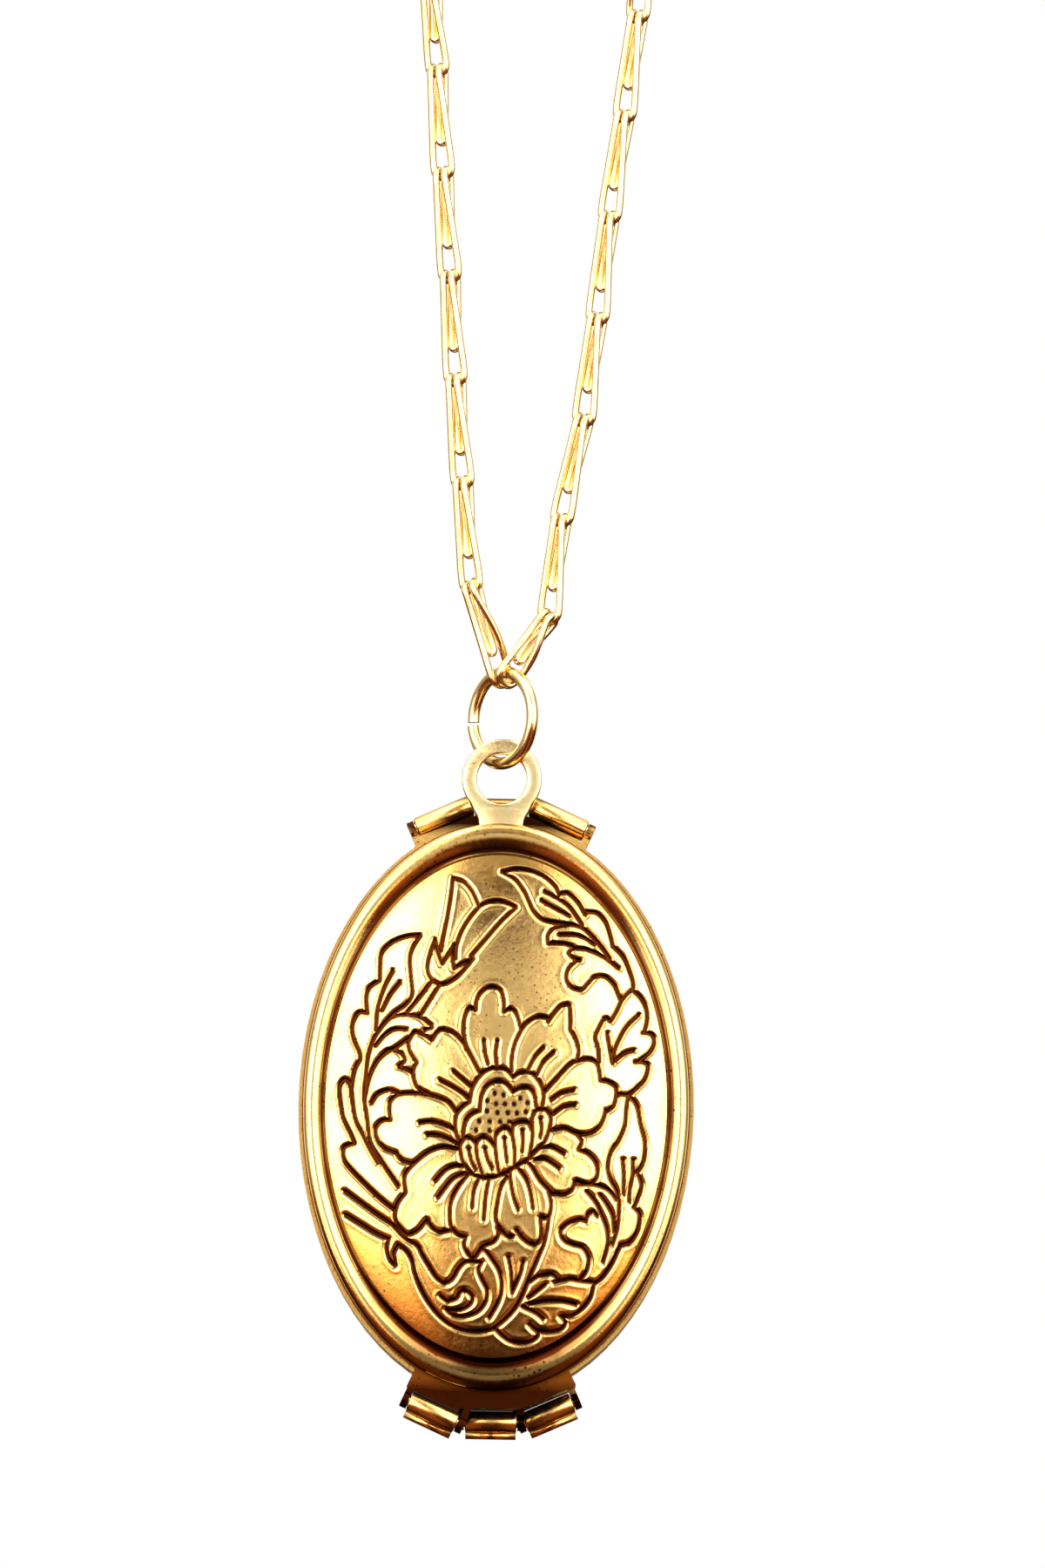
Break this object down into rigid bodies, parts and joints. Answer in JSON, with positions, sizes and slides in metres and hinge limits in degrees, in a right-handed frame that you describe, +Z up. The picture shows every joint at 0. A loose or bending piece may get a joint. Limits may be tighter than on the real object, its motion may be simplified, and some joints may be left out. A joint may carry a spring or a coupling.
{
  "type": "folding picture locket",
  "caption": "Oval folding picture locket with engraved domed cover and hinged photo pages, on a split jump ring and two strands of long-link chain.",
  "frame": {"origin": "middle of the jump ring's wire at its top, where the chain carries it", "axes": "+Z up along the hanging locket, -Y towards the engraved front, +X to the right seen from the front"},
  "size_m": [0.0266, 0.0133, 0.1078],
  "materials": {
    "antiqued_gold": "antiqued gold plate, burnished high, dark in the recesses",
    "bright_gold": "bright drawn gold-plated wire and sheet",
    "dark_gold": "darkened brass plate",
    "photo_card": "ivory card behind clear film"
  },
  "bodies": {
    "chain": {"chain_left": "bright_gold", "chain_right": "bright_gold", "end_tag_left": "bright_gold", "end_tag_right": "bright_gold"},
    "jump_ring": {"jump_ring": "bright_gold"},
    "front_leaf": {"front_cover": "antiqued_gold", "front_frame": "dark_gold", "bail": "bright_gold", "photo_card_front": "photo_card", "pin_1_front": "bright_gold"},
    "link_1": {"hinge_link_1": "antiqued_gold"},
    "page_1": {"page_1": "antiqued_gold", "photo_cards_1": "photo_card", "pin_1_rear": "bright_gold", "pin_2_front": "bright_gold"},
    "link_2": {"hinge_link_2": "antiqued_gold"},
    "page_2": {"page_2": "antiqued_gold", "photo_cards_2": "photo_card", "pin_2_rear": "bright_gold", "pin_3_front": "bright_gold"},
    "link_3": {"hinge_link_3": "antiqued_gold"},
    "page_3": {"page_3": "antiqued_gold", "photo_cards_3": "photo_card", "pin_3_rear": "bright_gold", "pin_4_front": "bright_gold"},
    "link_4": {"hinge_link_4": "antiqued_gold"},
    "page_4": {"page_4": "antiqued_gold", "photo_cards_4": "photo_card", "pin_4_rear": "bright_gold", "pin_5_front": "bright_gold"},
    "link_5": {"hinge_link_5": "antiqued_gold"},
    "back_leaf": {"back_frame": "dark_gold", "back_cover": "antiqued_gold", "photo_card_back": "photo_card", "pin_5_rear": "bright_gold"}
  },
  "joints": [
    {"name": "jump_ring_swing", "type": "hinge", "parent": "chain", "child": "jump_ring", "pos_m": [0, 0, 0], "axis": [1, 0, 0], "range_deg": [-8, 8]},
    {"name": "locket_swing", "type": "hinge", "parent": "jump_ring", "child": "front_leaf", "pos_m": [0, 0, -0.00616], "axis": [1, 0, 0], "range_deg": [-15, 15]},
    {"name": "link_1_turn", "type": "hinge", "parent": "front_leaf", "child": "link_1", "pos_m": [-0.0039, 0, -0.05002], "axis": [-0.9135, 0, 0.4067], "range_deg": [0, 90]},
    {"name": "leaf_1_turn", "type": "hinge", "parent": "link_1", "child": "page_1", "pos_m": [-0.0039, 0.0015, -0.05002], "axis": [-0.9135, 0, 0.4067], "range_deg": [0, 90]},
    {"name": "link_2_turn", "type": "hinge", "parent": "page_1", "child": "link_2", "pos_m": [0.0039, 0.0015, -0.00972], "axis": [0.9135, 0, -0.4067], "range_deg": [0, 90]},
    {"name": "leaf_2_turn", "type": "hinge", "parent": "link_2", "child": "page_2", "pos_m": [0.0039, 0.003, -0.00972], "axis": [0.9135, 0, -0.4067], "range_deg": [0, 90]},
    {"name": "link_3_turn", "type": "hinge", "parent": "page_2", "child": "link_3", "pos_m": [0, 0.003, -0.05052], "axis": [-1, 0, 0], "range_deg": [0, 90]},
    {"name": "leaf_3_turn", "type": "hinge", "parent": "link_3", "child": "page_3", "pos_m": [0, 0.0045, -0.05052], "axis": [-1, 0, 0], "range_deg": [0, 90]},
    {"name": "link_4_turn", "type": "hinge", "parent": "page_3", "child": "link_4", "pos_m": [-0.0039, 0.0045, -0.00952], "axis": [0.9135, 0, 0.4067], "range_deg": [0, 90]},
    {"name": "leaf_4_turn", "type": "hinge", "parent": "link_4", "child": "page_4", "pos_m": [-0.0039, 0.006, -0.00952], "axis": [0.9135, 0, 0.4067], "range_deg": [0, 90]},
    {"name": "link_5_turn", "type": "hinge", "parent": "page_4", "child": "link_5", "pos_m": [0.0039, 0.006, -0.04972], "axis": [-0.9135, 0, -0.4067], "range_deg": [0, 90]},
    {"name": "leaf_5_turn", "type": "hinge", "parent": "link_5", "child": "back_leaf", "pos_m": [0.0039, 0.0075, -0.04972], "axis": [-0.9135, 0, -0.4067], "range_deg": [0, 90]}
  ]
}
